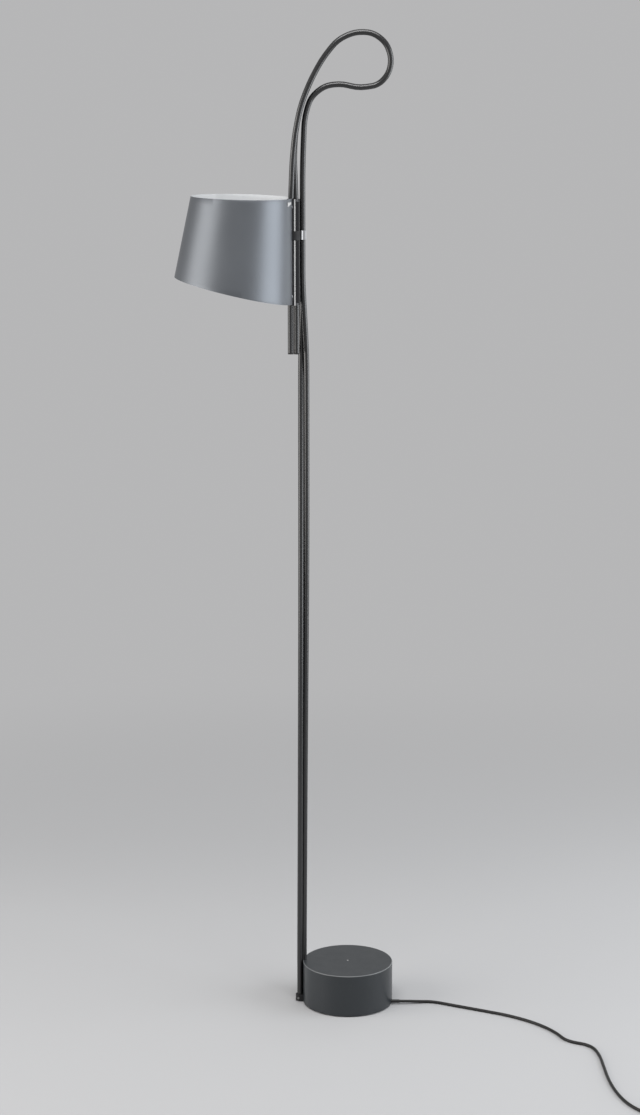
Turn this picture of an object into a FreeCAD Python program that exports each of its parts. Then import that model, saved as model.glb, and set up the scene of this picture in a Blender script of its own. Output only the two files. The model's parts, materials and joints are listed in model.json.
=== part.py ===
import FreeCAD, Part
import math
import os
import re

import Sketcher
from FreeCAD import Placement, Rotation, Vector

# Reading floor lamp.  A heavy round base holds a stem of two strands that stands up beside it, loops over at
# the top and comes down again through the lamp head, where it ends in a free tail.  A clip round the head's
# carriage rides on the rising stem, so the head slides up and down and swivels in the clip.
# Millimetres and degrees.  The origin is the middle of the base on the floor, +Z is up, the shade hangs
# towards -X, and the mains lead leaves towards +X.

SIZES = {
    # clearances
    "fit_gap": 0.3,  # between pieces that move past each other without guiding
    "slide_fit": 0.08,  # radial clearance of a guided fit
    "seat_gap": 0.1,  # between a fixed curved piece and its seat
    # base
    "base_diameter": 155,
    "base_height": 72,
    "base_edge_radius": 1.6,
    "pad_thickness": 2,
    "pad_inset": 4.5,
    "recess_diameter": 112,
    "recess_depth": 34,
    "cover_lip": 6,
    "cover_thickness": 2,
    "cover_screw_diameter": 3,
    "cover_screw_length": 9,
    "cover_screw_turn": 30,
    "stud_diameter": 3,
    "stud_rise": 0.3,
    "top_thickness": 6,
    "touch_board_diameter": 22,
    "touch_board_thickness": 1.6,
    "driver_length": 70,
    "driver_width": 34,
    "driver_height": 24,
    "driver_back": 17,
    "terminal_length": 26,
    "terminal_width": 14,
    "terminal_height": 13,
    "terminal_front": 24,
    "terminal_side": 22,
    "wire_diameter": 2.2,
    "wire_spacing": 4,
    "well_depth": 4,
    # stem: two strands side by side
    "strand_diameter": 9.4,
    "strand_gap": 0.3,
    "rod_diameter": 6,
    "cable_diameter": 3.6,
    "core_gap": 0.15,
    "stem_offset": 2.15,  # band's middle, outside the base's edge
    "stem_back": 5,
    "stem_lean": 2.85,  # how far the stem has come back over the base at the head
    "foot_turn": 42,  # how far the band is turned from flat at the foot
    "foot_block_radius": 7.2,
    "foot_block_height": 11.3,
    "foot_block_lift": 1,
    "foot_screw_diameter": 3,
    "foot_screw_head": 3.8,
    "foot_screw_heading": 250,
    "socket_depth": 1,
    "cable_rise": 5,
    "grub_screw_diameter": 5,
    "grub_screw_length": 12,
    "grub_screw_spacing": 14,
    "grub_screw_lift": 12,
    # where the two passes of the stem lie at the head
    "pass_gap_side": 15,
    "pass_gap_front": 14.3,
    "travel_up": 55,
    "travel_down": 50,
    "tail_length": 79,
    "plug_cap_length": 2,
    # clip and carriage
    "clip_height": 1321.5,
    "clip_width": 15,
    "clip_wall": 0.8,
    "bridge_left": 4.8,
    "bridge_back": 15.3,
    "clip_screw_diameter": 2.5,
    "ring_wall": 0.75,
    "carriage_drop": 1.7,
    "carriage_above": 51.5,
    "carriage_wall": 0.75,
    "end_ring_length": 4,
    # shade
    "sheet_thickness": 1,
    "shade_top_width": 166.9,
    "shade_half_angle": 6,
    "shade_side_height": 172.3,
    "shade_rise": 1,
    "shade_top_tilt": 1.4,
    "shade_mouth_tilt": 13.1,
    "shade_stand_off": 1.2,
    "shade_slot": 23.2,
    "mount_start": 7,
    "mount_reach": 17,
    "mount_depth": 8,
    "mount_inset": 6,
    "rivet_diameter": 3,
    "rivet_head": 5,
    "rivet_head_thickness": 0.9,
    "rivet_side": 14.3,
    "rivet_inset": 13.5,
    "tab_width": 5.5,
    "tab_height": 7,
    "tab_thickness": 0.6,
    "tab_inset": 5,
    # lamp inside the shade
    "pickup_length": 12,
    "pickup_width": 13,
    "pickup_height": 22,
    "pickup_lift": 1.5,
    "arm_width": 12,
    "arm_thickness": 6,
    "pan_diameter": 93.6,
    "pan_wall": 1.5,
    "pan_height": 24,
    "pan_lip": 1.8,
    "sink_plate": 4,
    "sink_height": 11,
    "fin_pitch": 9,
    "fin_slot": 5,
    "light_board_thickness": 1.6,
    "chip_size": 5,
    "chip_height": 0.8,
    "chip_ring_diameter": 62,
    "diffuser_thickness": 2.5,
    "pan_screw_diameter": 3,
    "pan_screw_ring": 34,
    "wire_side": 25,
    # mains lead
    "lead_diameter": 5,
    "lead_exit_front": 17,
    "relief_length": 30,
    "relief_stop": 2,
    "relief_root_diameter": 6.6,
    "relief_tip_diameter": 5.8,
    "coil_x": 503,
    "coil_y": -465,
    "coil_outer_radius": 38,
    "coil_pitch": 5.6,
    "coil_entry_angle": 221.2,
    "coil_turns": 6,  # whole turns, both layers together
    "tail_radius": 30,
    "tail_turn": 45,
    "plug_length": 36,
    "plug_width": 26,
    "plug_thickness": 15.6,
    "plug_neck": 11,
    "plug_neck_length": 20,
    "plug_edge_radius": 3,
    "plug_pin_diameter": 4,
    "plug_pin_length": 19,
    "plug_pin_spacing": 18.6,
}

# Places and sizes that follow from the driving ones.
PLACES = {
    "base_radius": "base_diameter / 2",
    "base_top": "pad_thickness + base_height",
    "recess_top": "pad_thickness + recess_depth",
    "cover_seat_radius": "recess_diameter / 2 + cover_lip",
    "cover_screw_ring": "recess_diameter / 2 + cover_lip / 2",
    "cover_screw_x": "cover_screw_ring * cos(cover_screw_turn)",
    "cover_screw_y": "cover_screw_ring * sin(cover_screw_turn)",
    "touch_pocket_top": "pad_thickness + base_height - top_thickness",
    "strand_radius": "strand_diameter / 2",
    "strand_offset": "(strand_diameter + strand_gap) / 2",
    "band_radius": "strand_diameter + strand_gap / 2",
    "groove_radius": "strand_diameter / 2 + fit_gap",
    "foot_x": "-(base_diameter / 2 + stem_offset)",
    "inner_foot_x": "foot_x + strand_offset * cos(foot_turn)",
    "inner_foot_y": "stem_back + strand_offset * sin(foot_turn)",
    "outer_foot_x": "foot_x - strand_offset * cos(foot_turn)",
    "outer_foot_y": "stem_back - strand_offset * sin(foot_turn)",
    "foot_block_top": "foot_block_lift + foot_block_height",
    "sleeve_end": "foot_block_top - socket_depth",
    "cable_level": "foot_block_lift + cable_rise",
    "wire_level": "recess_top - terminal_height / 2",
    "inner_foot_angle": "180 - atan(-inner_foot_y / inner_foot_x) / 1 deg",
    "inner_foot_distance": "sqrt(inner_foot_x^2 + inner_foot_y^2)",
    "stem_x": "foot_x + stem_lean",
    "carriage_x": "stem_x - pass_gap_side",
    "carriage_y": "stem_back - pass_gap_front",
    "tube_bore": "band_radius + fit_gap",
    "tube_radius": "tube_bore + carriage_wall",
    "clip_top": "clip_height + clip_width",
    "carriage_high": "clip_top + carriage_above",
    "tail_end": "carriage_low - tail_length",
    "twist_top": "clip_height - travel_down - 2",
    "loop_base": "carriage_high + travel_up + 5",
    "collar_bore": "tube_radius + slide_fit",
    "collar_radius": "collar_bore + clip_wall",
    "ring_half_width": "strand_radius + fit_gap + ring_wall",
    "shade_x": "carriage_x - shade_stand_off",
    "shade_high": "carriage_high + shade_rise",
    "shade_low": "shade_high - shade_side_height",
    "carriage_low": "shade_low - carriage_drop",
    "apex_drop": "shade_top_width / tan(2 * shade_half_angle)",
    "apex_z": "shade_high + apex_drop",
    "mount_high": "shade_high - mount_inset",
    "mount_low": "shade_low + mount_inset",
    "pickup_low": "clip_top + pickup_lift",
    "pickup_left": "carriage_x - tube_radius - pickup_length",
    "sink_top": "pickup_low + pickup_height - 2",
    "sink_low": "sink_top - sink_height",
    "pan_high": "sink_low + sink_plate + 2",
    "pan_low": "pan_high - pan_height",
    "pan_radius": "pan_diameter / 2",
    "lamp_wire_level": "pan_high + fit_gap + wire_diameter / 2",
    "pan_x": "shade_x - (apex_z - sink_low) * tan(2 * shade_half_angle) / 2",
    "arm_low": "sink_low + sink_plate / 2 - arm_thickness / 2",
    "lead_radius": "lead_diameter / 2",
    "lead_exit_z": "pad_thickness + fit_gap + relief_root_diameter / 2",
    "channel_half": "relief_root_diameter / 2 + seat_gap",
    "relief_start": "base_radius - relief_length * 0.6",
    "relief_end": "relief_start + relief_length",
    "top_layer": "lead_radius + coil_pitch",
    "coil_side": "coil_x + coil_outer_radius",
    "plug_x": "coil_side + tail_radius * (1 - cos(tail_turn)) + lead_diameter * sin(tail_turn)",
    "plug_y": "coil_y + tail_radius * sin(tail_turn) + lead_diameter * cos(tail_turn)",
}

# Mains lead on the floor, from the strain relief to the coil: x, y.
LEAD_POINTS = [
    (148.0, -10.5),
    (187.0, -30.5),
    (232.0, -52.5),
    (277.0, -75.0),
    (320.0, -109.0),
    (350.0, -149.0),
    (363.5, -187.0),
    (403.0, -203.5),
    (413.0, -243.0),
    (414.5, -297.0),
    (416.5, -352.0),
    (424.5, -404.0),
    (438.0, -444.0),
]

# From the strain relief down to the floor: steps from the relief's tip.
LEAD_DROP = [
    (15.0, 0.0, 0.0),
    (36.0, 3.5, -2.0),
]

# The stem between the base and the twist under the head: share of the height, way back over the base, turn.
STEM_BOW = [
    (0.02, 0.0, 42.0),
    (0.24, 1.3, 40.0),
    (0.45, 2.6, 32.0),
    (0.61, 3.7, 20.0),
    (0.756, 4.3, 8.0),
    (0.9, 4.4, 0.0),
]

# The quarter twist under the head: how far below its top, way back over the base, turn.
STEM_TWIST = [
    (170.0, 4.4, -9.0),
    (142.0, 4.35, -22.0),
    (120.0, 4.2, -36.0),
    (98.0, 4.0, -50.0),
    (75.0, 3.7, -64.0),
    (50.0, 3.35, -77.0),
    (25.0, 3.0, -87.0),
]

# The loop over the head, from the rising pass round to the falling pass: sideways and up from the stem.
LOOP_POINTS = [
    (3.2, 70.0),
    (13.3, 103.0),
    (35.8, 121.0),
    (62.8, 124.5),
    (90.8, 117.5),
    (122.8, 122.0),
    (139.8, 140.0),
    (144.3, 164.0),
    (135.8, 189.0),
    (113.8, 205.5),
    (84.8, 206.5),
    (56.8, 194.0),
    (32.8, 165.0),
    (12.8, 129.0),
    (-3.2, 89.0),
    (-12.5, 42.0),
]

# The falling pass turns from edge-on to flat: share of the way down to the tail's end, turn.
FALL_TURNS = [
    (0.0, -106.0),
    (0.075, -120.0),
    (0.155, -134.0),
    (0.25, -148.0),
    (0.38, -161.0),
    (0.54, -172.0),
    (0.74, -180.0),
    (1.0, -180.0),
]

LEAD_CHANNEL = ("-lead_exit_front - channel_half", "-lead_exit_front + channel_half")
CABLE_CHANNEL = ("outer_foot_y - 6.3", "outer_foot_y + 1.1")
COVER_SCREWS = 3
FIN_SLOTS = 9
CHIPS = 12
PAN_SCREWS = 3
EDGE_ON = -90.0
ARC_SHARE = 0.45  # share of the shorter run that an arc takes at a corner
PARTS_FOLDER = "parts"
LAST_RUN = 4.5  # the lead's last run before its coil, in lead diameters
GAP_SAMPLES = 480

doc = FreeCAD.newDocument("FloorLamp")
sizes = doc.addObject("Spreadsheet::Sheet", "Sizes")
places = doc.addObject("Spreadsheet::Sheet", "Places")


def formula(text, here="Places."):
    """The text with every named size or place pointing at its cell."""

    def cell(word):
        name = word.group(0)
        if name in SIZES:
            return "Sizes." + name
        return here + name if name in PLACES else name

    return re.sub(r"[a-z]\w*", cell, str(text))


def fill(sheet, cells, prefix=""):
    """Writes each value or formula into a cell that bears its name."""
    for row, (name, content) in enumerate(cells.items(), 1):
        sheet.set(f"A{row}", name)
        sheet.setAlias(f"B{row}", name)
        sheet.set(f"B{row}", prefix + formula(content, ""))
    doc.recompute()


def bind(thing, **properties):
    """Ties properties to formulas; a double underscore stands for a dot in the property's path."""
    for path, text in properties.items():
        thing.setExpression(path.replace("__", "."), formula(text))
    return thing


# ---- pieces from Part primitives ----


def place(thing, x=0, y=0, z=0):
    return bind(thing, Placement__Base__x=x, Placement__Base__y=y, Placement__Base__z=z)


def turned(thing, angle, x, y):
    """Turns a piece about a level axis through its place."""
    bind(thing, Placement__Rotation__Axis__x=x, Placement__Rotation__Axis__y=y)
    return bind(thing, Placement__Rotation__Axis__z=0, Placement__Rotation__Angle=angle)


def level(thing, heading):
    """Lays a piece that is made along Z down, pointing along a level heading in degrees."""
    return turned(thing, 90, f"-sin({heading})", f"cos({heading})")


def box(name, x, y, z):
    """A block between three pairs of formulas: (low, high) for each way."""
    block = doc.addObject("Part::Box", name)
    bind(block, Length=f"{x[1]} - ({x[0]})", Width=f"{y[1]} - ({y[0]})", Height=f"{z[1]} - ({z[0]})")
    return place(block, x[0], y[0], z[0])


def disc(name, radius, x, y, z):
    """An upright cylinder; z is a pair of formulas."""
    cylinder = doc.addObject("Part::Cylinder", name)
    return place(bind(cylinder, Radius=radius, Height=f"{z[1]} - ({z[0]})"), x, y, z[0])


def rod(name, radius, length, x, y, z, heading):
    """A level cylinder from a point along a heading."""
    cylinder = doc.addObject("Part::Cylinder", name)
    return level(place(bind(cylinder, Radius=radius, Height=length), x, y, z), heading)


def cut(name, base, tool):
    result = doc.addObject("Part::Cut", name)
    result.Base, result.Tool = base, tool
    return result


def joined(name, *pieces):
    result = doc.addObject("Part::MultiFuse", name)
    result.Shapes = list(pieces)
    return result


def shared(name, *pieces):
    result = doc.addObject("Part::MultiCommon", name)
    result.Shapes = list(pieces)
    return result


# ---- pieces from sketches ----


def new_body(name):
    return doc.addObject("PartDesign::Body", name)


def new_sketch(body, name, role):
    sketch = body.newObject("Sketcher::SketchObject", name)
    base_plane = next(item for item in body.Origin.OriginFeatures if item.Role == role)
    sketch.AttachmentSupport = [(base_plane, "")]
    sketch.MapMode = "FlatFace"
    return sketch


def pin_point(sketch, geometry, position, x, y):
    """Holds a point of the sketch at two formulas from the sketch's origin."""
    for kind, text in (("DistanceX", x), ("DistanceY", y)):
        index = sketch.addConstraint(Sketcher.Constraint(kind, -1, 1, geometry, position, 1.0))
        sketch.setExpression(f"Constraints[{index}]", formula(text))


def add_outline(sketch, corners):
    """A closed outline of straight sides through corners given as formulas."""
    first = sketch.GeometryCount
    count = len(corners)
    rough = [Vector(math.cos(math.tau * i / count), math.sin(math.tau * i / count), 0) for i in range(count)]
    for i in range(count):
        sketch.addGeometry(Part.LineSegment(rough[i], rough[(i + 1) % count]), False)
    for i in range(count):
        sketch.addConstraint(Sketcher.Constraint("Coincident", first + i, 2, first + (i + 1) % count, 1))
    for i, (x, y) in enumerate(corners):
        pin_point(sketch, first + i, 1, x, y)


def add_oblong(sketch, x, y):
    """A rectangle between two pairs of formulas."""
    add_outline(sketch, [(x[0], y[0]), (x[1], y[0]), (x[1], y[1]), (x[0], y[1])])


def add_circle(sketch, radius, x=0, y=0):
    index = sketch.addGeometry(Part.Circle(Vector(0, 0, 0), Vector(0, 0, 1), 1.0), False)
    pin_point(sketch, index, 3, x, y)
    constraint = sketch.addConstraint(Sketcher.Constraint("Radius", index, 1.0))
    sketch.setExpression(f"Constraints[{constraint}]", formula(radius))


def feature(body, kind, name, sketch, **properties):
    made = body.newObject("PartDesign::" + kind, name)
    made.Profile = sketch
    return bind(made, **properties)


def lift(sketch, offset):
    """Moves a sketch off its plane."""
    return bind(sketch, AttachmentOffset__Base__z=offset)


def revolved(body, name, corners):
    sketch = new_sketch(body, name + "_section", "XZ_Plane")
    add_outline(sketch, corners)
    revolution = body.newObject("PartDesign::Revolution", name)
    revolution.Profile = sketch
    revolution.ReferenceAxis = (sketch, ["V_Axis"])
    revolution.Angle = 360
    return revolution


def around(body, name, hole, sketch, count):
    """Repeats a cut round the body's upright axis."""
    pattern = body.newObject("PartDesign::PolarPattern", name)
    pattern.Originals = [hole]
    pattern.Axis = (sketch, ["N_Axis"])
    pattern.Angle = 360
    pattern.Occurrences = count
    body.Tip = pattern
    return pattern


# ---- pieces swept along routes ----


def tangent_arc(start, heading, end):
    """The arc from start to end that leaves start along heading."""
    chord = end - start
    aside = chord - heading * chord.dot(heading)
    if aside.Length < 1e-7:
        return Part.LineSegment(start, end)
    aside = aside / aside.Length
    centre = start + aside * (chord.dot(chord) / (2 * chord.dot(aside)))
    middle = (start + end) * 0.5 - centre
    return Part.Arc(start, centre + middle * ((start - centre).Length / middle.Length), end)


def route(points, name):
    """Straight runs joined by tangent arcs, as one wire; prints its tightest radius."""
    pieces = []
    radii = []
    at = points[0]
    for before, corner, after in zip(points, points[1:], points[2:]):
        coming = (corner - before) / (corner - before).Length
        going = (after - corner) / (after - corner).Length
        half_turn = coming.getAngle(going) / 2
        reach = ARC_SHARE * min((corner - before).Length, (after - corner).Length)
        radii.append(reach / math.tan(half_turn))
        pieces.append(Part.LineSegment(at, corner - coming * reach))
        pieces.append(tangent_arc(corner - coming * reach, coming, corner + going * reach))
        at = corner + going * reach
    pieces.append(Part.LineSegment(at, points[-1]))
    print(f"{name}: radii", " ".join(f"{radius:.0f}" for radius in radii))
    return Part.Wire([piece.toShape() for piece in pieces])


def swept(wire, radius, name):
    """A round bar along a wire, with its volume set against section times length."""
    first = wire.OrderedEdges[0]
    start = first.valueAt(first.FirstParameter)
    ring = Part.makeCircle(radius, start, first.tangentAt(first.FirstParameter))
    bar = wire.makePipeShell([Part.Wire([ring])], True, False)
    share = bar.Volume / (math.pi * radius * radius * wire.Length)
    print(f"{name}: length {wire.Length:.1f}, volume over section times length {share:.4f}")
    return bar


def piece(name, shape, x=0, y=0, z=0):
    """A sub-part whose shape is worked out in code, set down at its place."""
    item = doc.addObject("Part::Feature", name)
    item.Shape = shape
    item.Placement = Placement(Vector(x, y, z), Rotation())
    return item


def strand_points(stations, side):
    """Points of one strand: half a pitch off the band's middle, on the side that its turn gives."""
    offset = side * places.strand_offset
    return [
        Vector(x + offset * math.cos(math.radians(turn)), y + offset * math.sin(math.radians(turn)), z)
        for x, y, z, turn in stations
    ]


def band_stations():
    """The middle of the band from the base's top to the tail's end: x, y, z and turn."""
    back = sizes.stem_back
    low = places.twist_top - STEM_TWIST[0][0]
    stations = []
    for share, lean, turn in STEM_BOW:
        height = places.base_top + share * (low - places.base_top)
        stations.append((places.foot_x + lean, back, height, turn))
    for drop, lean, turn in STEM_TWIST:
        stations.append((places.foot_x + lean, back, places.twist_top - drop, turn))
    stations.append((places.stem_x, back, places.twist_top, EDGE_ON))
    stations.append((places.stem_x, back, places.loop_base - sizes.strand_diameter, EDGE_ON))
    for index, (aside, up) in enumerate(LOOP_POINTS, 1):
        share = index / (len(LOOP_POINTS) + 1)
        y = back - share * sizes.pass_gap_front
        stations.append((places.stem_x + aside, y, places.loop_base + up, EDGE_ON))
    fall = places.loop_base - places.tail_end
    for share, turn in FALL_TURNS:
        stations.append((places.carriage_x, places.carriage_y, places.loop_base - share * fall, turn))
    return stations


# ---- base ----


def make_base_weight():
    body = new_body("base_weight")
    revolved(
        body,
        "weight_turned",
        [
            ("touch_board_diameter / 2 + 2", "recess_top"),
            ("recess_diameter / 2", "recess_top"),
            ("recess_diameter / 2", "pad_thickness + cover_thickness"),
            ("cover_seat_radius", "pad_thickness + cover_thickness"),
            ("cover_seat_radius", "pad_thickness"),
            ("base_radius", "pad_thickness"),
            ("base_radius", "base_top"),
            ("stud_diameter / 2 + seat_gap", "base_top"),
            ("stud_diameter / 2 + seat_gap", "touch_pocket_top"),
            ("touch_board_diameter / 2 + 2", "touch_pocket_top"),
        ],
    )
    groove = new_sketch(body, "stem_groove_outline", "XY_Plane")
    add_circle(groove, "groove_radius", "inner_foot_x", "inner_foot_y")
    cut_groove = feature(body, "Pocket", "stem_groove", groove, Length="base_top + 5")
    cut_groove.Reversed = True
    channel = new_sketch(body, "lead_channel_outline", "XY_Plane")
    add_oblong(channel, ("recess_diameter / 3", "base_diameter"), LEAD_CHANNEL)
    cut_channel = feature(body, "Pocket", "lead_channel", channel, Length="lead_exit_z + channel_half")
    cut_channel.Reversed = True
    inlet = new_sketch(body, "cable_channel_outline", "XY_Plane")
    add_oblong(inlet, ("-base_diameter", "-recess_diameter / 3"), CABLE_CHANNEL)
    cut_inlet = feature(body, "Pocket", "cable_channel", inlet, Length="cable_level + cable_diameter")
    cut_inlet.Reversed = True
    doc.recompute()
    hole = new_sketch(body, "cover_screw_hole_outline", "XY_Plane")
    add_circle(hole, "cover_screw_diameter / 2 + seat_gap", "cover_screw_x", "cover_screw_y")
    depth = "pad_thickness + cover_screw_length + 1"
    cut_hole = feature(body, "Pocket", "cover_screw_hole", hole, Length=depth)
    cut_hole.Reversed = True
    doc.recompute()
    pattern = around(body, "cover_screw_holes", cut_hole, hole, COVER_SCREWS)
    doc.recompute()
    rim = [
        f"Edge{number}"
        for number, edge in enumerate(pattern.Shape.Edges, 1)
        if edge.BoundBox.ZMin > places.base_top - 0.01 and edge.BoundBox.DiagonalLength > places.base_radius
    ]
    rounded = body.newObject("PartDesign::Fillet", "top_edge")
    rounded.Base = (pattern, rim)
    bind(rounded, Radius="base_edge_radius")
    body.Tip = rounded
    return body


def grub_screw(name, radius, start, length, height):
    """A screw or its hole, pointing outwards at the strand in the groove."""
    x = f"({start}) * cos(inner_foot_angle)"
    y = f"({start}) * sin(inner_foot_angle)"
    return rod(name, radius, length, x, y, height, "inner_foot_angle")


def make_base():
    """The base and the two screws that grip the strand in its groove."""
    heights = ("pad_thickness + grub_screw_lift", "pad_thickness + grub_screw_lift + grub_screw_spacing")
    tip = "inner_foot_distance - strand_radius - seat_gap"
    holes = []
    screws = []
    start = f"{tip} - grub_screw_length"
    for i, z in enumerate(heights):
        hole = ("grub_screw_diameter / 2 + seat_gap", "recess_diameter * 0.45", "base_radius / 2")
        holes.append(grub_screw(f"grub_hole_{i}", *hole, z))
        screws.append(grub_screw(f"grub_screw_{i}", "grub_screw_diameter / 2", start, "grub_screw_length", z))
    base = cut("drilled_base", make_base_weight(), joined("grub_holes", *holes))
    return {"base_weight": base, "stem_grub_screws": joined("grub_screws", *screws)}


def make_cover():
    body = new_body("underside_cover")
    sketch = new_sketch(body, "cover_outline", "XY_Plane")
    add_circle(sketch, "cover_seat_radius - fit_gap")
    lift(sketch, "pad_thickness")
    feature(body, "Pad", "cover_plate", sketch, Length="cover_thickness")
    notch = new_sketch(body, "cover_notch_outline", "XY_Plane")
    add_oblong(notch, ("recess_diameter / 2 - 12", "base_diameter"), LEAD_CHANNEL)
    cut_notch = feature(body, "Pocket", "cover_notch", notch, Length="pad_thickness + cover_thickness + 1")
    cut_notch.Reversed = True
    hole = new_sketch(body, "cover_hole_outline", "XY_Plane")
    add_circle(hole, "cover_screw_diameter / 2 + fit_gap", "cover_screw_x", "cover_screw_y")
    cut_hole = feature(body, "Pocket", "cover_hole", hole, Length="pad_thickness + cover_thickness + 1")
    cut_hole.Reversed = True
    doc.recompute()
    around(body, "cover_holes", cut_hole, hole, COVER_SCREWS)
    return body


def make_cover_screws():
    screws = []
    for index in range(COVER_SCREWS):
        angle = f"cover_screw_turn + {index} * 360 / {COVER_SCREWS}"
        spot = (f"cover_screw_ring * cos({angle})", f"cover_screw_ring * sin({angle})")
        low = "pad_thickness + fit_gap"
        z = (low, f"{low} + cover_screw_length")
        screws.append(disc(f"cover_screw_{index}", "cover_screw_diameter / 2", *spot, z))
    return joined("cover_screws", *screws)


def make_terminal():
    """The mains terminal, with a well below for the lead."""
    x = ("terminal_side - terminal_length / 2", "terminal_side + terminal_length / 2")
    y = ("-terminal_front - terminal_width / 2", "-terminal_front + terminal_width / 2")
    low = "recess_top - terminal_height"
    block = box("terminal_blank", x, y, (low, "recess_top"))
    well_z = (f"{low} - 1", f"{low} + well_depth")
    well_x = "terminal_side + terminal_length / 4"
    well = disc("terminal_well", "lead_radius + seat_gap", well_x, "-terminal_front", well_z)
    return cut("terminal", block, well)


def make_driver_wires():
    """Three wires from the mains terminal back to the driver."""
    start = "-terminal_front + terminal_width / 2"
    length = f"driver_back - driver_width / 2 - ({start})"
    wires = []
    for i in (-1, 0, 1):
        x = f"terminal_side + {i} * wire_spacing"
        wires.append(rod(f"driver_wire_{i + 1}", "wire_diameter / 2", length, x, start, "wire_level", "90"))
    return joined("driver_wire_set", *wires)


def make_foot_block():
    """The block at the floor that holds the outer strand's end and turns its cable into the base."""
    z = ("foot_block_lift", "foot_block_top")
    spot = ("outer_foot_x", "outer_foot_y")
    boss = disc("foot_boss", "foot_block_radius", *spot, z)
    web_y = ("outer_foot_y - foot_block_radius", "outer_foot_y + 2")
    web = box("foot_web", ("outer_foot_x", "-base_radius + 4"), web_y, z)
    side = disc("foot_side", "base_radius + seat_gap", "0", "0", ("0", "base_top"))
    clear = disc("foot_clear", "groove_radius", "inner_foot_x", "inner_foot_y", ("0", "base_top"))
    socket = disc("foot_socket", "strand_radius + seat_gap", *spot, ("sleeve_end", "foot_block_top + 1"))
    low = "cable_level - cable_diameter / 2 - fit_gap"
    bore = disc("foot_bore", "cable_diameter / 2 + fit_gap", *spot, (low, "foot_block_top + 1"))
    passage_y = ("outer_foot_y - 5", "outer_foot_y + cable_diameter / 2 + fit_gap")
    passage = box("foot_passage", ("outer_foot_x", "0"), passage_y, (low, "sleeve_end"))
    start, depth = "strand_radius - 0.8", "foot_block_radius"
    hole = foot_screw("foot_screw_hole", "foot_screw_diameter / 2 + seat_gap", start, depth)
    tools = joined("foot_tools", side, clear, socket, bore, passage, hole)
    return cut("foot_block", joined("foot_solid", boss, web), tools)


def foot_screw(name, radius, start, length):
    """A small level screw in the block's front, pointing outwards."""
    x = f"outer_foot_x + ({start}) * cos(foot_screw_heading)"
    y = f"outer_foot_y + ({start}) * sin(foot_screw_heading)"
    return rod(name, radius, length, x, y, "foot_block_lift + foot_block_height / 2", "foot_screw_heading")


def make_foot_screw():
    """The screw that clamps the outer strand in the foot block."""
    start = "strand_radius + seat_gap"
    length = "foot_block_radius - strand_radius + 0.5"
    shank = foot_screw("foot_screw_shank", "foot_screw_diameter / 2", start, length)
    head = foot_screw("foot_screw_head", "foot_screw_head / 2", "foot_block_radius + seat_gap", "1.1")
    return joined("foot_screw", shank, head)


# ---- head ----


def upright_slot(name, half_width, half_depth, z):
    """A flat-sided oval block round the rising stem, its long way front to back."""
    run = f"{half_depth} - ({half_width})"
    pieces = [
        disc(f"{name}_{way}", half_width, "stem_x", f"stem_back {sign} ({run})", z)
        for way, sign in (("back", "+"), ("front", "-"))
    ]
    x = (f"stem_x - ({half_width})", f"stem_x + {half_width}")
    y = (f"stem_back - ({run})", f"stem_back + {run}")
    return joined(name, *pieces, box(f"{name}_middle", x, y, z))


def make_ring():
    """The close ring round the rising stem."""
    low_high = ("clip_height", "clip_top")
    beyond = ("clip_height - 1", "clip_top + 1")
    outer = upright_slot("ring_outer", "ring_half_width", "band_radius + fit_gap + ring_wall", low_high)
    inner = upright_slot("ring_inner", "strand_radius + fit_gap", "band_radius + fit_gap", beyond)
    return cut("ring", outer, inner)


def make_collar():
    """The collar that the head turns in, with the bridge that carries the ring."""
    z = ("clip_height", "clip_top")
    band = disc("collar_band", "collar_radius", "carriage_x", "carriage_y", z)
    bridge = box(
        "collar_bridge",
        ("carriage_x + bridge_left", "stem_x - ring_half_width"),
        ("carriage_y", "carriage_y + bridge_back"),
        z,
    )
    bore = disc("collar_hole", "collar_bore", "carriage_x", "carriage_y", ("clip_height - 1", "clip_top + 1"))
    hole_radius = "clip_screw_diameter / 2 + seat_gap"
    screw_hole = clip_screw("collar_screw_hole", hole_radius, "bridge_back - 4.5", "6")
    return cut("collar", joined("collar_solid", band, bridge), joined("collar_tools", bore, screw_hole))


def clip_screw(name, radius, start, length):
    x = "(carriage_x + bridge_left + stem_x - ring_half_width) / 2"
    return rod(name, radius, length, x, f"carriage_y + {start}", "clip_height + clip_width / 2", "90")


def make_clip_screw():
    shank = clip_screw("clip_shank", "clip_screw_diameter / 2", "bridge_back - 4.2", "4.4")
    head = clip_screw("clip_head", "clip_screw_diameter / 2 + 0.9", "bridge_back", "1.2")
    return joined("clip_screw", shank, head)


def make_carriage():
    """The tube that the falling pass of the stem runs through."""
    body = new_body("carriage_tube")
    sketch = new_sketch(body, "carriage_section", "XY_Plane")
    add_circle(sketch, "tube_radius", "carriage_x", "carriage_y")
    add_circle(sketch, "tube_bore", "carriage_x", "carriage_y")
    lift(sketch, "carriage_low + end_ring_length")
    length = "carriage_high - carriage_low - 2 * end_ring_length"
    feature(body, "Pad", "carriage_length", sketch, Length=length)
    return body


def end_ring(name, low):
    """A ring that closes an end of the carriage, slightly rounded outside."""
    z = (low, f"{low} + end_ring_length")
    outer = disc(f"{name}_outer", "tube_radius", "carriage_x", "carriage_y", z)
    beyond = (f"{low} - 1", f"{low} + end_ring_length + 1")
    hole = disc(f"{name}_hole", "tube_bore", "carriage_x", "carriage_y", beyond)
    return cut(name, outer, hole)


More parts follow.
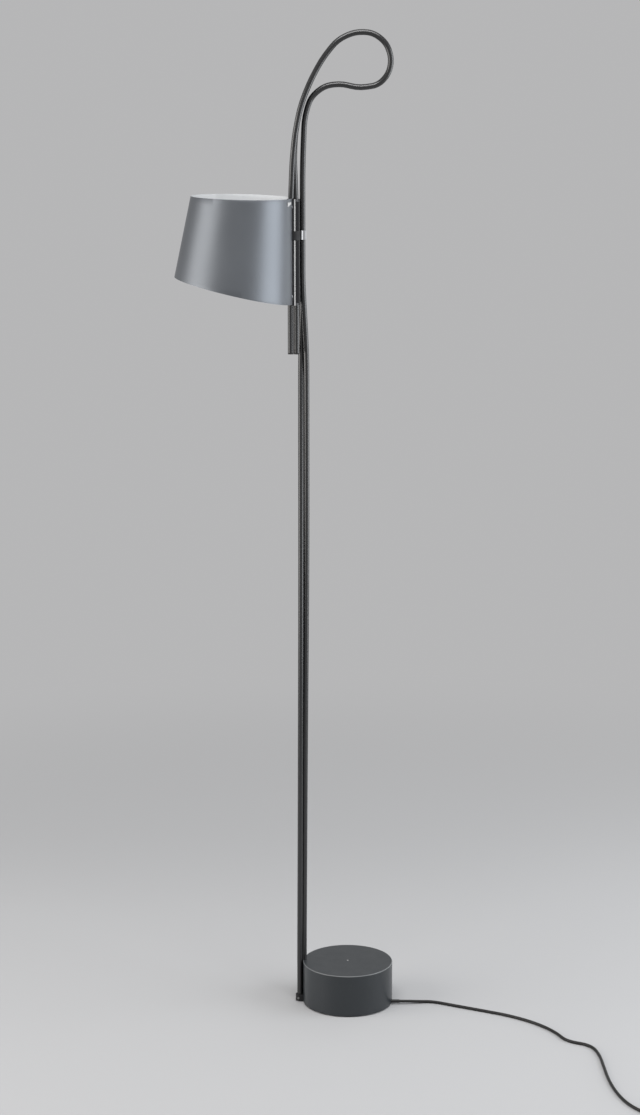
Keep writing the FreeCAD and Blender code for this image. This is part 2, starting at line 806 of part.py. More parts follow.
def shade_cone(name, inset):
    """The shade's cone, tilted so that its side by the stem is upright, made smaller by a thickness."""
    cone = doc.addObject("Part::Cone", name)
    near = "(apex_drop - 40) / cos(shade_half_angle)"
    far = "(apex_drop + shade_side_height + 60) / cos(shade_half_angle)"
    bind(cone, Radius1=f"{far} * tan(shade_half_angle) - ({inset}) / cos(shade_half_angle)")
    bind(cone, Radius2=f"{near} * tan(shade_half_angle) - ({inset}) / cos(shade_half_angle)")
    bind(cone, Height=f"{far} - {near}")
    x, z = f"shade_x - {far} * sin(shade_half_angle)", f"apex_z - {far} * cos(shade_half_angle)"
    place(cone, x, "carriage_y", z)
    return turned(cone, "shade_half_angle", 0, 1)


def tilted_block(name, height, tilt, below):
    """A large block whose upper or lower face is a rim's plane, tilted up away from the stem."""
    block = doc.addObject("Part::Box", name)
    reach = "(3 * shade_top_width)"
    thick = "shade_side_height"
    bind(block, Length=f"1.5 * {reach}", Width=reach, Height=thick)
    down = thick if below else "0"
    x = f"shade_x - {reach} * cos({tilt}) - {down} * sin({tilt})"
    z = f"{height} + {reach} * sin({tilt}) - {down} * cos({tilt})"
    place(block, x, f"carriage_y - {reach} / 2", z)
    return turned(block, tilt, 0, 1)


RIVET_SIDES = (("front", "-"), ("back", "+"))


def rivets(name, radius, start, length):
    """Level rivets square to the sheet, two by each upright edge."""
    found = []
    for way, sign in RIVET_SIDES:
        for end, height in (("high", "shade_high - rivet_inset"), ("low", "shade_low + rivet_inset")):
            around_shade = f"((apex_z - ({height})) * tan(2 * shade_half_angle) / 2)"
            heading = f"({sign}1 * asin(rivet_side / {around_shade}))"
            x = f"shade_x - {around_shade} + ({around_shade} + {start}) * cos({heading})"
            y = f"carriage_y + ({around_shade} + {start}) * sin({heading})"
            found.append(rod(f"{name}_{way}_{end}", radius, length, x, y, height, heading))
    return joined(name, *found)


def make_shade():
    wall = cut("shade_wall", shade_cone("shade_outside", "0"), shade_cone("shade_inside", "sheet_thickness"))
    slot = box(
        "shade_slot_block",
        ("shade_x - 12", "shade_x + 10"),
        ("carriage_y - shade_slot / 2", "carriage_y + shade_slot / 2"),
        ("shade_low - 60", "shade_high + 40"),
    )
    top = tilted_block("shade_top_block", "shade_high", "shade_top_tilt", False)
    mouth = tilted_block("shade_mouth_block", "shade_low", "shade_mouth_tilt", True)
    holes = rivets("rivet_holes", "rivet_diameter / 2 + seat_gap", "-4", "8")
    return cut("shade_sheet", wall, joined("shade_tools", slot, top, mouth, holes))


def make_mounts(name, low, high):
    """The pair of blocks that join the carriage to the sheet's edges, above or below the clip."""
    blocks = []
    for way, sign in RIVET_SIDES:
        near, far = (f"carriage_y {sign} mount_start", f"carriage_y {sign} mount_reach")
        y = (near, far) if sign == "+" else (far, near)
        blocks.append(box(f"{name}_{way}", ("shade_x - mount_depth", "shade_x"), y, (low, high)))
    cone = shade_cone(f"{name}_cone", "sheet_thickness + seat_gap")
    inside = shared(f"{name}_inside", joined(f"{name}_blocks", *blocks), cone)
    beyond = (f"{low} - 5", f"{high} + 5")
    tube = disc(f"{name}_tube", "tube_radius + seat_gap", "carriage_x", "carriage_y", beyond)
    holes = rivets(f"{name}_holes", "rivet_diameter / 2 + seat_gap", "-7", "10")
    return cut(name, inside, joined(f"{name}_tools", tube, holes))


def make_rivets():
    shanks = rivets("rivet_shanks", "rivet_diameter / 2", "-5", "5.3")
    heads = rivets("rivet_heads", "rivet_head / 2", "seat_gap", "rivet_head_thickness")
    return joined("rivets", shanks, heads)


def make_tab():
    """A small plain tab on the sheet's front edge, at the top."""
    x = ("shade_x - 2 - tab_width", "shade_x - 2")
    z = ("shade_high - tab_inset - tab_height", "shade_high - tab_inset")
    block = box("tab_block", x, ("carriage_y - shade_top_width / 2", "carriage_y - 10"), z)
    outside = shade_cone("tab_outside", "-tab_thickness - seat_gap")
    return cut("tab", shared("tab_skin", block, outside), shade_cone("tab_inside", "-seat_gap"))


def make_pickup():
    block = box(
        "pickup_blank",
        ("pickup_left", "carriage_x"),
        ("carriage_y - pickup_width / 2", "carriage_y + pickup_width / 2"),
        ("pickup_low", "pickup_low + pickup_height"),
    )
    z = ("clip_height", "shade_high")
    tube = disc("pickup_tube", "tube_radius + seat_gap", "carriage_x", "carriage_y", z)
    return cut("pickup", block, tube)


def make_arm():
    bar = box(
        "arm_blank",
        ("pan_x", "pickup_left"),
        ("carriage_y - arm_width / 2", "carriage_y + arm_width / 2"),
        ("arm_low", "arm_low + arm_thickness"),
    )
    pan = disc("arm_pan", "pan_radius + seat_gap", "pan_x", "carriage_y", ("pan_low - 5", "sink_top + 5"))
    return cut("arm", bar, pan)


def on_lamp(body):
    """Sets a body that is made round its own axis down on the lamp's axis."""
    return place(body, "pan_x", "carriage_y", "0")


def make_pan():
    body = new_body("lamp_pan")
    revolved(
        body,
        "pan_turned",
        [
            ("pan_radius - pan_wall - pan_lip", "pan_low"),
            ("pan_radius", "pan_low"),
            ("pan_radius", "pan_high"),
            ("pan_radius - pan_wall", "pan_high"),
            ("pan_radius - pan_wall", "pan_low + pan_wall"),
            ("pan_radius - pan_wall - pan_lip", "pan_low + pan_wall"),
        ],
    )
    return on_lamp(body)


def make_sink():
    body = new_body("heat_sink")
    sketch = new_sketch(body, "sink_outline", "XY_Plane")
    add_circle(sketch, "pan_radius - pan_wall - seat_gap")
    lift(sketch, "sink_low")
    feature(body, "Pad", "sink_plate_pad", sketch, Length="sink_height")
    slot = new_sketch(body, "fin_slot_outline", "XY_Plane")
    lift(slot, "sink_low + sink_plate")
    first = f"-{FIN_SLOTS - 1} / 2 * fin_pitch"
    add_oblong(slot, ("-pan_radius", "pan_radius"), (f"{first} - fin_slot / 2", f"{first} + fin_slot / 2"))
    cut_slot = feature(body, "Pocket", "fin_slot_cut", slot, Length="sink_height")
    cut_slot.Reversed = True
    doc.recompute()
    pattern = body.newObject("PartDesign::LinearPattern", "fin_slots")
    pattern.Originals = [cut_slot]
    pattern.Direction = (slot, ["V_Axis"])
    pattern.Occurrences = FIN_SLOTS
    bind(pattern, Length=f"{FIN_SLOTS - 1} * fin_pitch")
    body.Tip = pattern
    return on_lamp(body)


def make_chips():
    chips = []
    for index in range(CHIPS):
        angle = f"{index} * 360 / {CHIPS}"
        x = f"pan_x + chip_ring_diameter / 2 * cos({angle})"
        y = f"carriage_y + chip_ring_diameter / 2 * sin({angle})"
        low = "sink_low - light_board_thickness - chip_height"
        wide = (f"{x} - chip_size / 2", f"{x} + chip_size / 2")
        deep = (f"{y} - chip_size / 2", f"{y} + chip_size / 2")
        chips.append(box(f"chip_{index}", wide, deep, (low, f"{low} + chip_height")))
    return joined("chips", *chips)


def pan_screw_spot(index):
    angle = f"30 + {index} * 360 / {PAN_SCREWS}"
    return f"pan_x + pan_screw_ring / 2 * cos({angle})", f"carriage_y + pan_screw_ring / 2 * sin({angle})"


def make_pan_screws():
    """The screws that hold the light board up against the heat sink."""
    under = "sink_low - light_board_thickness"
    screws = []
    for index in range(PAN_SCREWS):
        spot = pan_screw_spot(index)
        head = (f"{under} - pan_screw_diameter / 2", under)
        screws.append(disc(f"pan_screw_head_{index}", "pan_screw_diameter", *spot, head))
        shank = (under, "sink_low + sink_plate - 0.5")
        screws.append(disc(f"pan_screw_shank_{index}", "pan_screw_diameter / 2", *spot, shank))
    return joined("pan_screws", *screws)


def lamp_holes(name, low, high):
    """Holes for the pan's screws, and one for the lamp wire above the light board."""
    wire_z = ("sink_low", "sink_low + 2 * sink_plate")
    holes = [disc(f"{name}_wire", "wire_diameter / 2 + seat_gap", "pan_x + wire_side", "carriage_y", wire_z)]
    for index in range(PAN_SCREWS):
        radius = "pan_screw_diameter / 2 + seat_gap"
        holes.append(disc(f"{name}_{index}", radius, *pan_screw_spot(index), (low, high)))
    return joined(name, *holes)


# ---- mains lead ----


def make_relief():
    """A tapered sleeve in the base's wall that the lead leaves through."""
    cone = doc.addObject("Part::Cone", "relief_cone")
    bind(cone, Radius1="relief_root_diameter / 2", Radius2="relief_tip_diameter / 2", Height="relief_length")
    level(place(cone, "relief_start", "-lead_exit_front", "lead_exit_z"), "0")
    inner_end = "relief_start - relief_stop"
    spot = (inner_end, "-lead_exit_front", "lead_exit_z")
    stop = rod("relief_shoulder", "relief_root_diameter / 2", "relief_stop", *spot, "0")
    return joined("relief", cone, stop)


def coil_point(turns):
    """A point of the coil and its heading there, for a number of turns from the coil's start."""
    pitch = sizes.coil_pitch
    whole = sizes.coil_turns + (360 - sizes.coil_entry_angle) / 360
    run = (whole - 0.5) / 2
    outer = sizes.coil_outer_radius
    inner = outer - run * pitch
    climb = min(max((turns - run) / 0.5, 0.0), 1.0)
    if turns <= run:
        radius, growing = outer - pitch * turns, -pitch
    elif turns < run + 0.5:
        radius, growing = inner - pitch * climb * (1 - climb) / 2, pitch * (2 * climb - 1)
    else:
        radius, growing = inner + pitch * (turns - run - 0.5), pitch
    rising = pitch * 6 * climb * (1 - climb) / 0.5
    height = places.lead_radius + pitch * climb * climb * (3 - 2 * climb)
    angle = math.radians(sizes.coil_entry_angle) + math.tau * turns
    away = Vector(math.cos(angle), math.sin(angle), 0)
    along = Vector(-math.sin(angle), math.cos(angle), 0)
    heading = away * growing + along * (math.tau * radius) + Vector(0, 0, rising)
    spot = Vector(sizes.coil_x, sizes.coil_y, height) + away * radius
    return spot, heading / heading.Length


def coil_wire():
    """The wound lead: biarcs of about a quarter turn, an arc away to the plug, and straight ends."""
    whole = sizes.coil_turns + (360 - sizes.coil_entry_angle) / 360
    steps = math.ceil(4 * whole)
    stops = [coil_point(whole * step / steps) for step in range(steps + 1)]
    first, first_heading = stops[0]
    last, last_heading = stops[-1][0], Vector(0, 1, 0)
    stops[-1] = (last, last_heading)
    pieces = [Part.LineSegment(first - first_heading * sizes.lead_diameter, first)]
    for (start, leaving), (end, arriving) in zip(stops, stops[1:]):
        chord = end - start
        sum_of_headings = chord.dot(leaving + arriving)
        slack = 2 * (1 - leaving.dot(arriving))
        reach = (math.sqrt(sum_of_headings**2 + slack * chord.dot(chord)) - sum_of_headings) / slack
        joint = (start + end + (leaving - arriving) * reach) * 0.5
        pieces.append(tangent_arc(start, leaving, joint))
        backwards = tangent_arc(end, arriving * -1, joint)
        middle = backwards.value((backwards.FirstParameter + backwards.LastParameter) / 2)
        pieces.append(Part.Arc(joint, middle, end))
    plug = Vector(places.plug_x, places.plug_y, last.z)
    turn = math.radians(sizes.tail_turn)
    leave = plug - Vector(math.sin(turn), math.cos(turn), 0) * sizes.lead_diameter
    pieces.append(tangent_arc(last, last_heading, leave))
    pieces.append(Part.LineSegment(leave, plug))
    return Part.Wire([part.toShape() for part in pieces])


def least_gap(wire, diameter):
    """The least clear distance of a wound bar to itself, on points along its middle."""
    points = wire.discretize(GAP_SAMPLES)
    apart = int(GAP_SAMPLES * 5 * diameter / wire.Length) + 1
    return min(
        (points[i] - points[k]).Length for i in range(GAP_SAMPLES) for k in range(i + apart, GAP_SAMPLES)
    ) - diameter


def lead_route():
    start = Vector(places.relief_end, -sizes.lead_exit_front, places.lead_exit_z)
    entry, heading = coil_point(0)
    end = entry - heading * sizes.lead_diameter
    floor_points = [Vector(x, y, places.lead_radius) for x, y in LEAD_POINTS]
    drop = [start, *(start + Vector(*step) for step in LEAD_DROP)]
    return [*drop, *floor_points, end - heading * LAST_RUN * sizes.lead_diameter, end]


def inner_lead_route():
    """From the strain relief up into the well of the mains terminal."""
    start = Vector(places.relief_start - sizes.relief_stop, -sizes.lead_exit_front, places.lead_exit_z)
    well_end = places.recess_top - sizes.terminal_height + sizes.well_depth
    well = Vector(sizes.terminal_side + sizes.terminal_length / 4, -sizes.terminal_front, well_end)
    return [start, start + Vector(-11, 0, 0), start + Vector(-22, -2.5, 5), well + Vector(0, 0, -13), well]


def lamp_wire_route():
    """From the pick-up block along a slot of the heat sink and down to the light board."""
    start = Vector(places.pickup_left, places.carriage_y, places.lamp_wire_level)
    corner = Vector(places.pan_x + sizes.wire_side, places.carriage_y, places.lamp_wire_level)
    return [start, corner, Vector(corner.x, corner.y, places.sink_low)]


def make_plug():
    """A flat moulded plug, made along +Y from the lead's end and turned to its place."""
    body = new_body("plug_body")
    sketch = new_sketch(body, "plug_outline", "XY_Plane")
    right = [
        ("plug_neck / 2", "0"),
        ("plug_neck / 2 + 1", "plug_neck_length / 2"),
        ("plug_width / 2", "plug_neck_length"),
        ("plug_width / 2", "plug_length"),
    ]
    add_outline(sketch, [*right, *((f"-({x})", y) for x, y in reversed(right))])
    lift(sketch, "-plug_thickness / 2")
    pad = feature(body, "Pad", "plug_pad", sketch, Length="plug_thickness")
    doc.recompute()
    sides = [
        f"Edge{number}"
        for number, edge in enumerate(pad.Shape.Edges, 1)
        if edge.BoundBox.ZLength < 0.01 and edge.BoundBox.XLength < 0.01
    ]
    rounded = body.newObject("PartDesign::Fillet", "plug_edges")
    rounded.Base = (pad, sides)
    bind(rounded, Radius="plug_edge_radius")
    body.Tip = rounded
    bind(body, Placement__Rotation__Angle="-tail_turn")
    return place(body, "plug_x", "plug_y", "top_layer")


def make_plug_pins():
    pins = []
    for way, sign in (("left", "-"), ("right", "+")):
        x = f"plug_x + plug_length * sin(tail_turn) + ({sign}plug_pin_spacing / 2) * cos(tail_turn)"
        y = f"plug_y + plug_length * cos(tail_turn) - ({sign}plug_pin_spacing / 2) * sin(tail_turn)"
        radius, length = "plug_pin_diameter / 2", "plug_pin_length"
        pins.append(rod(f"plug_pin_{way}", radius, length, x, y, "top_layer", "(90 - tail_turn)"))
    return joined("pins", *pins)


# ---- the whole lamp ----


def make_stem():
    stations = band_stations()
    cable_bore = sizes.cable_diameter / 2 + sizes.core_gap
    rod_bore = sizes.rod_diameter / 2 + sizes.core_gap
    inner = [Vector(places.inner_foot_x, places.inner_foot_y, sizes.pad_thickness + 0.5)]
    inner += strand_points(stations, 1)
    outer = [Vector(places.outer_foot_x, places.outer_foot_y, places.sleeve_end)]
    outer += strand_points(stations, -1)
    inner_wire = route(inner, "rod strand")
    outer_wire = route(outer, "cable strand")
    made = {}
    for name, wire, bore in (("rod_sleeve", inner_wire, rod_bore), ("cable_sleeve", outer_wire, cable_bore)):
        skin = swept(wire, places.strand_radius, name)
        made[name] = piece(name + "_shape", skin.cut(swept(wire, bore, name + " bore")))
    made["fibre_rod"] = piece("fibre_rod_shape", swept(inner_wire, sizes.rod_diameter / 2, "fibre rod"))
    driver_end = Vector(-sizes.driver_length / 2, sizes.driver_back - 8, places.recess_top - 12)
    cable = [
        driver_end,
        driver_end + Vector(-7.5, 0, 0),
        driver_end + Vector(-12, -4, -8.5),
        driver_end + Vector(-15.5, -9.5, places.cable_level + 0.5 - driver_end.z),
        Vector(places.outer_foot_x + 12.5, places.outer_foot_y - 3.5, places.cable_level),
        Vector(places.outer_foot_x, places.outer_foot_y, places.cable_level),
        *outer[1:],
    ]
    supply = swept(route(cable, "supply cable"), sizes.cable_diameter / 2, "supply cable")
    made["supply_cable"] = piece("supply_cable_shape", supply)
    return made


def make_tail_plugs():
    z = ("tail_end - plug_cap_length", "tail_end")
    caps = [
        disc(f"tail_plug_{i}", "strand_radius", f"carriage_x {sign} strand_offset", "carriage_y", z)
        for i, sign in enumerate(("-", "+"))
    ]
    return joined("tail_caps", *caps)


def make_all():
    parts = make_base()
    parts["foot_pad"] = disc("pad", "base_radius - pad_inset", "0", "0", ("0", "pad_thickness"))
    parts["underside_cover"] = make_cover()
    parts["cover_screws"] = make_cover_screws()
    stud_z = ("touch_pocket_top", "base_top + stud_rise")
    parts["touch_stud"] = disc("stud", "stud_diameter / 2", "0", "0", stud_z)
    board_z = ("touch_pocket_top - touch_board_thickness", "touch_pocket_top")
    parts["touch_board"] = disc("touch_plate", "touch_board_diameter / 2", "0", "0", board_z)
    parts["driver_case"] = box(
        "driver",
        ("-driver_length / 2", "driver_length / 2"),
        ("driver_back - driver_width / 2", "driver_back + driver_width / 2"),
        ("recess_top - driver_height", "recess_top"),
    )
    parts["terminal_block"] = make_terminal()
    parts["stem_foot_block"] = make_foot_block()
    parts["foot_block_screw"] = make_foot_screw()
    parts.update(make_stem())
    parts["tail_plugs"] = make_tail_plugs()
    parts["clip_collar"] = make_collar()
    parts["stem_ring"] = make_ring()
    parts["clip_screw"] = make_clip_screw()
    parts["carriage_tube"] = make_carriage()
    parts["carriage_top_ring"] = end_ring("top_ring", "carriage_high - end_ring_length")
    parts["carriage_bottom_ring"] = end_ring("bottom_ring", "carriage_low")
    parts["shade"] = make_shade()
    parts["upper_shade_mounts"] = make_mounts("upper_mounts", "clip_top + fit_gap", "mount_high")
    parts["lower_shade_mounts"] = make_mounts("lower_mounts", "mount_low", "clip_height - fit_gap")
    parts["shade_rivets"] = make_rivets()
    parts["corner_tab"] = make_tab()
    parts["pickup_block"] = make_pickup()
    parts["lamp_arm"] = make_arm()
    parts["lamp_pan"] = make_pan()
    sink_holes = lamp_holes("sink_holes", "sink_low - 1", "sink_low + sink_plate - 0.4")
    parts["heat_sink"] = cut("sink_drilled", make_sink(), sink_holes)
    lamp_z = ("sink_low - light_board_thickness", "sink_low")
    board = disc("board_blank", "pan_radius - pan_wall - fit_gap", "pan_x", "carriage_y", lamp_z)
    board_holes = lamp_holes("board_holes", "sink_low - 2 * light_board_thickness", "sink_low + 1")
    parts["light_board"] = cut("board_drilled", board, board_holes)
    parts["light_chips"] = make_chips()
    parts["diffuser"] = disc(
        "diffuser_plate",
        "pan_radius - pan_wall - fit_gap",
        "pan_x",
        "carriage_y",
        ("pan_low + pan_wall", "pan_low + pan_wall + diffuser_thickness"),
    )
    parts["pan_screws"] = make_pan_screws()
    parts["strain_relief"] = make_relief()
    inner_lead = route(inner_lead_route(), "inner lead")
    parts["inner_lead"] = piece("inner_lead_shape", swept(inner_lead, places.lead_radius, "inner lead"))
    lamp_wire = route(lamp_wire_route(), "lamp wire")
    parts["lamp_wire"] = piece("lamp_wire_shape", swept(lamp_wire, sizes.wire_diameter / 2, "lamp wire"))
    parts["driver_wires"] = make_driver_wires()
    free = route(lead_route(), "mains lead")
    parts["mains_lead"] = piece("mains_lead_shape", swept(free, places.lead_radius, "mains lead"))
    wound = coil_wire()
    parts["lead_coil"] = piece("lead_coil_shape", swept(wound, places.lead_radius, "lead coil"))
    print(f"lead coil: least gap to itself {least_gap(wound, sizes.lead_diameter):.2f}")
    print(f"lead: {(free.Length + wound.Length) / 1000:.3f} m from the relief to the plug")
    parts["plug_body"] = make_plug()
    parts["plug_pins"] = make_plug_pins()
    return parts


fill(sizes, SIZES)
fill(places, PLACES, "=")
lamp = make_all()
doc.recompute()
for item in doc.Objects:
    if "Invalid" in item.State or "Error" in item.State:
        raise RuntimeError(f"{item.Name} failed: {item.State}")
os.makedirs(PARTS_FOLDER, exist_ok=True)
for node, item in lamp.items():
    item.Label = node
    if item.Shape.isNull() or not item.Shape.isValid():
        raise RuntimeError(f"{node} has no valid shape")
    item.Shape.exportStep(f"{PARTS_FOLDER}/{node}.step")
    print(f"{node}: {item.Shape.Volume:.0f} mm3, {len(item.Shape.Solids)} solids")
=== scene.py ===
import json
import math

import bmesh
import bpy
from mathutils import Matrix, Vector


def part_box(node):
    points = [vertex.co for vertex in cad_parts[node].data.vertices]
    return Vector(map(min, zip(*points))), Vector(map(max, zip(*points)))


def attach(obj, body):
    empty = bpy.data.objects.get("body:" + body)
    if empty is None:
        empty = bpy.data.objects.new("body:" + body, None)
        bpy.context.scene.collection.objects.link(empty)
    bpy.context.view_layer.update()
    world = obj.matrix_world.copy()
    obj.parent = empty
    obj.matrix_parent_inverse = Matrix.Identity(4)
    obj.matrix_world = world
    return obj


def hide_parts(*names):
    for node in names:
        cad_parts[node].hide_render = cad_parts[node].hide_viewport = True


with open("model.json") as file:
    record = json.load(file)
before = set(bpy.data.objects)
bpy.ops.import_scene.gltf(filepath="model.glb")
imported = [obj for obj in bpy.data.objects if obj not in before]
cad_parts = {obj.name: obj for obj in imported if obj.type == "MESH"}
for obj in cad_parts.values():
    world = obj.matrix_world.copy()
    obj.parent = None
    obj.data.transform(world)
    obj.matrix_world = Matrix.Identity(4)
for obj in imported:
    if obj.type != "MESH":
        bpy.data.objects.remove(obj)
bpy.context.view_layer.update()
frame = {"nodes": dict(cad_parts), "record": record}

NODES = frame["nodes"]


def add_object(name, data):
    thing = bpy.data.objects.new(name, data)
    bpy.context.collection.objects.link(thing)
    return thing


# ---- the camera, as the photograph was taken ----

CAMERA_PLACE = (-0.04827, -4.0796, 1.6259)
CAMERA_PITCH = 11.586  # degrees below level
FOCAL_PIXELS = 2476.0
IMAGE_HEIGHT = 1115.0  # pixels
SENSOR = 36.0  # mm


def make_camera():
    lens = bpy.data.cameras.new("photograph_camera")
    lens.sensor_fit = "VERTICAL"
    lens.sensor_height = SENSOR
    lens.lens = FOCAL_PIXELS / IMAGE_HEIGHT * SENSOR
    camera = add_object("photograph_camera", lens)
    camera.location = CAMERA_PLACE
    camera.rotation_euler = (math.radians(90 - CAMERA_PITCH), 0, 0)
    bpy.context.scene.camera = camera


make_camera()
bpy.context.scene.view_settings.view_transform = "Standard"

# ---- the mains lead ----

LEAD_DIAMETER = 0.005
LEAD_EXIT = (0.0895, -0.017, 0.0056)
LEAD_STEPS = 8  # between two points of its line
LEAD_ROUNDNESS = 6
FLOOR_LEVEL = LEAD_DIAMETER / 2  # of the lead's middle, where it lies on the floor
LEAD_ROUTE = [
    LEAD_EXIT,
    (0.1045, -0.017, 0.0056),
    (0.1255, -0.0135, 0.0036),
    (0.148, -0.0105, FLOOR_LEVEL),
    (0.187, -0.0305, FLOOR_LEVEL),
    (0.232, -0.0525, FLOOR_LEVEL),
    (0.277, -0.075, FLOOR_LEVEL),
    (0.320, -0.109, FLOOR_LEVEL),
    (0.350, -0.149, FLOOR_LEVEL),
    (0.3635, -0.187, FLOOR_LEVEL),
    (0.403, -0.2035, FLOOR_LEVEL),
    (0.413, -0.243, FLOOR_LEVEL),
    (0.4145, -0.297, FLOOR_LEVEL),
    (0.4165, -0.352, FLOOR_LEVEL),
    (0.4245, -0.404, FLOOR_LEVEL),
    (0.438, -0.444, FLOOR_LEVEL),
    (0.4566, -0.4697, FLOOR_LEVEL),
]
COIL_MIDDLE = (0.503, -0.465)
COIL_RADIUS = 0.038
COIL_PITCH = 0.0056  # from turn to turn, and from the lower layer to the upper one
COIL_ENTRY = 221.2  # degrees round its middle
COIL_TURNS = 6 + (360 - COIL_ENTRY) / 360
CLIMB_TURNS = 0.5  # spent on the way up to the upper layer
POINTS_PER_TURN = 14
LEAD_TAIL = [(0.5412, -0.4555, 0.0081), (0.5436, -0.4482, 0.0081), (0.5484, -0.4415, 0.0081)]
PLUG_END = (0.5533, -0.4373, 0.0081)


def coil_points():
    """The put-away coil's points: in towards its middle, up a layer, and out again."""
    run = (COIL_TURNS - CLIMB_TURNS) / 2
    inner = COIL_RADIUS - run * COIL_PITCH
    drawn_in = math.cos(math.pi / POINTS_PER_TURN / 2) ** 2  # the line runs inside its points
    count = math.ceil(COIL_TURNS * POINTS_PER_TURN)
    points = []
    for step in range(count + 1):
        turned = COIL_TURNS * step / count
        climb = min(max((turned - run) / CLIMB_TURNS, 0.0), 1.0)
        if turned <= run:
            radius = COIL_RADIUS - COIL_PITCH * turned
        elif turned < run + CLIMB_TURNS:
            radius = inner - COIL_PITCH * climb * (1 - climb) / 2
        else:
            radius = inner + COIL_PITCH * (turned - run - CLIMB_TURNS)
        radius /= drawn_in
        angle = math.radians(COIL_ENTRY) + math.tau * turned
        x = COIL_MIDDLE[0] + radius * math.cos(angle)
        y = COIL_MIDDLE[1] + radius * math.sin(angle)
        z = FLOOR_LEVEL + COIL_PITCH * climb * climb * (3 - 2 * climb)
        points.append((x, y, z))
    return points


def nurbs_line(name, points, radius):
    """One smooth open NURBS curve with the given control points, all of one radius."""
    curve = bpy.data.curves.new(name, "CURVE")
    curve.dimensions = "3D"
    spline = curve.splines.new("NURBS")
    spline.points.add(len(points) - 1)
    for control, point in zip(spline.points, points):
        control.co = (*point, 1.0)
        control.radius = radius
    spline.order_u = 3
    spline.use_endpoint_u = True
    spline.resolution_u = LEAD_STEPS
    return add_object(name, curve)


def make_lead():
    """The lead from the base along the floor, through its coil and up to the plug."""
    route = [*LEAD_ROUTE, *coil_points(), *LEAD_TAIL, PLUG_END]
    lead = nurbs_line("mains_lead_cord", route, LEAD_DIAMETER / 2)
    lead.data.bevel_depth = 1.0  # times each point's own radius
    lead.data.bevel_resolution = LEAD_ROUNDNESS
    lead.data.use_fill_caps = True
    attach(lead, "base")
    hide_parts("mains_lead", "lead_coil")
    return lead


lead = make_lead()

# ---- shader nodes ----


def add_node(tree, kind, **settings):
    node = tree.nodes.new("ShaderNode" + kind)
    for key, value in settings.items():
        setattr(node, key, value)
    return node


def feed(tree, socket, value):
    """Sets a socket to a plain number or colour, or links it to another node's output."""
    if isinstance(value, (int, float, tuple)):
        socket.default_value = value
    else:
        tree.links.new(value, socket)


def noise(tree, place, scale, detail, roughness=0.5):
    node = add_node(tree, "TexNoise")
    node.inputs["Detail"].default_value = detail
    node.inputs["Roughness"].default_value = roughness
    feed(tree, node.inputs["Vector"], place)
    feed(tree, node.inputs["Scale"], scale)
    return node.outputs["Fac"]


def maths(tree, operation, first, second, clamp=False):
    node = add_node(tree, "Math", operation=operation, use_clamp=clamp)
    feed(tree, node.inputs[0], first)
    feed(tree, node.inputs[1], second)
    return node.outputs[0]


def spread(tree, value, low, high, new_low=0.0, new_high=1.0):
    """Maps a value from one range to another, held inside the new one."""
    node = add_node(tree, "MapRange")
    feed(tree, node.inputs["Value"], value)
    feed(tree, node.inputs["From Min"], low)
    feed(tree, node.inputs["From Max"], high)
    feed(tree, node.inputs["To Min"], new_low)
    feed(tree, node.inputs["To Max"], new_high)
    return node.outputs["Result"]


def mix_colour(tree, factor, first, second):
    node = add_node(tree, "Mix", data_type="RGBA")
    # the factor's socket is the first; the two colours' sockets are the seventh and eighth
    for index, value in ((0, factor), (6, first), (7, second)):
        feed(tree, node.inputs[index], value)
    return node.outputs[2]


def drawn_out(tree, place, scale, turn=(0.0, 0.0, 0.0)):
    """A place scaled differently along each axis, so that a pattern on it runs one way."""
    mapping = add_node(tree, "Mapping")
    mapping.inputs["Scale"].default_value = scale
    mapping.inputs["Rotation"].default_value = turn
    tree.links.new(place, mapping.inputs["Vector"])
    return mapping.outputs[0]


# ---- shader groups that several finishes share ----

MOTTLE_LIMITS = (0.3, 0.7)  # of the noise, where the mottle is at its least and its most
SCUFF_LIMITS = (0.66, 0.72)
SPECK_LIMITS = (0.73, 0.78)
SCUFF_SCALE = (40.0, 260.0, 60.0)
SCUFF_TURN = (0.4, 0.2, 0.9)
SPECKS_PER_METRE = 900.0
RIM_FULL_AT = 0.25  # of the rounding, in from the edge


def new_group(name, numbers, results):
    """A node group that takes a place and named numbers; with its inputs and its outputs."""
    group = bpy.data.node_groups.new(name, "ShaderNodeTree")
    sockets = group.interface
    sockets.new_socket("Place", in_out="INPUT", socket_type="NodeSocketVector")
    for label in numbers:
        sockets.new_socket(label, in_out="INPUT", socket_type="NodeSocketFloat")
    for label in results:
        sockets.new_socket(label, in_out="OUTPUT", socket_type="NodeSocketFloat")
    given = group.nodes.new("NodeGroupInput").outputs
    result = group.nodes.new("NodeGroupOutput").inputs
    return group, given, result


def make_fine_grain():
    """Fine grain: a height for the bump, and a slow mottle that varies tone and roughness."""
    group, given, result = new_group(
        "fine_grain", ["Grain Scale", "Mottle Scale"], ["Height", "Mottle"],
    )
    height = noise(group, given["Place"], given["Grain Scale"], 2.0)
    mottle = noise(group, given["Place"], given["Mottle Scale"], 5.0, 0.6)
    group.links.new(height, result["Height"])
    group.links.new(spread(group, mottle, *MOTTLE_LIMITS), result["Mottle"])
    return group


